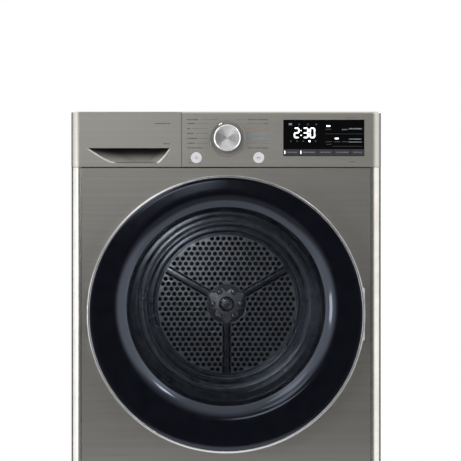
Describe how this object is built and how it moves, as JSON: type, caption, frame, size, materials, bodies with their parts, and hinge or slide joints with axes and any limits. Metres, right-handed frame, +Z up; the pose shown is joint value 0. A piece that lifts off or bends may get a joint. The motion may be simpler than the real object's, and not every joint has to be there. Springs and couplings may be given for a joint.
{
  "type": "clothes dryer",
  "caption": "Front-loading heat-pump clothes dryer with a round ring door, rotary programme knob, key panel and pull-out water tank drawer.",
  "frame": {"origin": "on the floor, at the middle of the whole machine's box", "axes": "+X to the machine's right as seen from the front, +Y to the rear, +Z up"},
  "size_m": [0.6, 0.69, 0.85],
  "materials": {
    "painted_side": "satin enamel",
    "brushed_front": "brushed",
    "galvanised": "galvanised sheet",
    "stainless": "stainless sheet",
    "chrome_ring": "polished",
    "brushed_aluminium": "radially brushed",
    "aluminium_fin": "mill",
    "panel_plastic": "satin silver",
    "key_plastic": "satin silver",
    "black_gloss": "high gloss",
    "dark_plastic": "moulded",
    "grey_plastic": "moulded",
    "white_plastic": "moulded",
    "tinted_glass": "dark tint",
    "display_glass": "black",
    "circuit_board": "solder mask",
    "rubber_black": "moulded",
    "rubber_grey": "moulded",
    "felt_grey": "pressed felt",
    "steel": "plated",
    "cast_motor": "painted",
    "compressor_black": "painted",
    "copper_pipe": "drawn copper",
    "bronze": "sintered",
    "worktop": "melamine-faced chipboard"
  },
  "bodies": {
    "cabinet": {"base_tray": "dark_plastic", "side_panel_left": "painted_side", "side_panel_right": "painted_side", "rear_panel": "galvanised", "cabinet_screws": "steel", "top_plate": "worktop", "front_panel": "brushed_front", "control_fascia": "panel_plastic", "display_window": "display_glass", "control_board": "circuit_board", "tank_tray": "grey_plastic", "hinge_bracket": "steel", "hinge_pin": "steel", "door_latch": "grey_plastic", "front_support": "galvanised", "drum_seals": "felt_grey", "rear_duct": "galvanised", "rear_bearing": "bronze", "roller_axles": "steel", "drum_motor": "cast_motor", "drum_belt": "rubber_black", "compressor": "compressor_black", "duct_cover": "grey_plastic", "refrigerant_pipes": "copper_pipe", "blower_housing": "grey_plastic", "fan_motor": "cast_motor", "condensate_pump": "white_plastic", "pump_hose": "rubber_grey", "drain_spigot": "grey_plastic", "power_inlet": "dark_plastic", "evaporator": "aluminium_fin", "condenser": "aluminium_fin"},
    "door": {"door_trim_ring": "chrome_ring", "door_cover": "black_gloss", "door_window": "tinted_glass", "door_frame": "dark_plastic", "door_gasket": "rubber_grey", "door_hinge_leaf": "steel", "door_strike": "white_plastic"},
    "drum": {"drum_shell": "stainless", "drum_rear_panel": "stainless", "drum_hub": "stainless", "hub_bolts": "steel", "drum_lifters": "grey_plastic"},
    "roller_left": {"support_roller_left": "white_plastic"},
    "roller_right": {"support_roller_right": "white_plastic"},
    "motor_rotor": {"motor_pulley": "steel"},
    "idler_arm": {"idler_arm": "steel"},
    "idler_wheel": {"idler_pulley": "white_plastic"},
    "fan": {"fan_impeller": "dark_plastic"},
    "drawer": {"drawer_front": "panel_plastic", "water_tank": "white_plastic"},
    "knob": {"program_knob": "brushed_aluminium"},
    "power_key": {"power_button": "key_plastic"},
    "start_key": {"start_button": "key_plastic"},
    "filter": {"lint_filter": "grey_plastic"},
    "foot_front_left": {"foot_front_left": "rubber_black"},
    "foot_rear_left": {"foot_rear_left": "rubber_black"},
    "foot_front_right": {"foot_front_right": "rubber_black"},
    "foot_rear_right": {"foot_rear_right": "rubber_black"}
  },
  "joints": [
    {"name": "door_hinge", "type": "hinge", "parent": "cabinet", "child": "door", "pos_m": [0.261, -0.33, 0.46], "axis": [0, 0, 1], "range_deg": [0, 160]},
    {"name": "drum_spin", "type": "hinge", "parent": "cabinet", "child": "drum", "pos_m": [0, 0, 0.46], "axis": [0, 1, 0], "continuous": true},
    {"name": "roller_left_spin", "type": "hinge", "parent": "cabinet", "child": "roller_left", "pos_m": [-0.20717, 0, 0.2131], "axis": [0, 1, 0], "continuous": true},
    {"name": "roller_right_spin", "type": "hinge", "parent": "cabinet", "child": "roller_right", "pos_m": [0.20717, 0, 0.2131], "axis": [0, 1, 0], "continuous": true},
    {"name": "motor_spin", "type": "hinge", "parent": "cabinet", "child": "motor_rotor", "pos_m": [0.205, 0, 0.118], "axis": [0, 1, 0], "continuous": true},
    {"name": "idler_arm_pivot", "type": "hinge", "parent": "cabinet", "child": "idler_arm", "pos_m": [0.09, -0.028, 0.07], "axis": [0, 1, 0], "range_deg": [0, 12], "stiffness_Nm_per_rad": 6, "springref_deg": -20.05},
    {"name": "idler_wheel_spin", "type": "hinge", "parent": "idler_arm", "child": "idler_wheel", "pos_m": [0.12, 0, 0.12], "axis": [0, 1, 0], "continuous": true},
    {"name": "fan_spin", "type": "hinge", "parent": "cabinet", "child": "fan", "pos_m": [-0.13, 0, 0.15], "axis": [0, 1, 0], "continuous": true},
    {"name": "drawer_slide", "type": "slide", "parent": "cabinet", "child": "drawer", "axis": [0, -1, 0], "range_m": [0, 0.42]},
    {"name": "knob_turn", "type": "hinge", "parent": "cabinet", "child": "knob", "pos_m": [0.0023, -0.32, 0.7983], "axis": [0, -1, 0], "continuous": true},
    {"name": "power_press", "type": "slide", "parent": "cabinet", "child": "power_key", "axis": [0, 1, 0], "range_m": [0, 0.002], "stiffness_N_per_m": 400, "springref_m": -0.001},
    {"name": "start_press", "type": "slide", "parent": "cabinet", "child": "start_key", "axis": [0, 1, 0], "range_m": [0, 0.002], "stiffness_N_per_m": 400, "springref_m": -0.001},
    {"name": "filter_lift", "type": "slide", "parent": "cabinet", "child": "filter", "axis": [0, 0, 1], "range_m": [0, 0.17]},
    {"name": "foot_front_left_screw", "type": "slide", "parent": "cabinet", "child": "foot_front_left", "axis": [0, 0, -1], "range_m": [0, 0.015]},
    {"name": "foot_rear_left_screw", "type": "slide", "parent": "cabinet", "child": "foot_rear_left", "axis": [0, 0, -1], "range_m": [0, 0.015]},
    {"name": "foot_front_right_screw", "type": "slide", "parent": "cabinet", "child": "foot_front_right", "axis": [0, 0, -1], "range_m": [0, 0.015]},
    {"name": "foot_rear_right_screw", "type": "slide", "parent": "cabinet", "child": "foot_rear_right", "axis": [0, 0, -1], "range_m": [0, 0.015]}
  ],
  "couplings": [
    {"joint": "roller_left_spin", "follows": "drum_spin", "ratio": -8.2},
    {"joint": "roller_right_spin", "follows": "drum_spin", "ratio": -8.2},
    {"joint": "motor_spin", "follows": "drum_spin", "ratio": 31.889},
    {"joint": "idler_wheel_spin", "follows": "drum_spin", "ratio": -14.35}
  ]
}
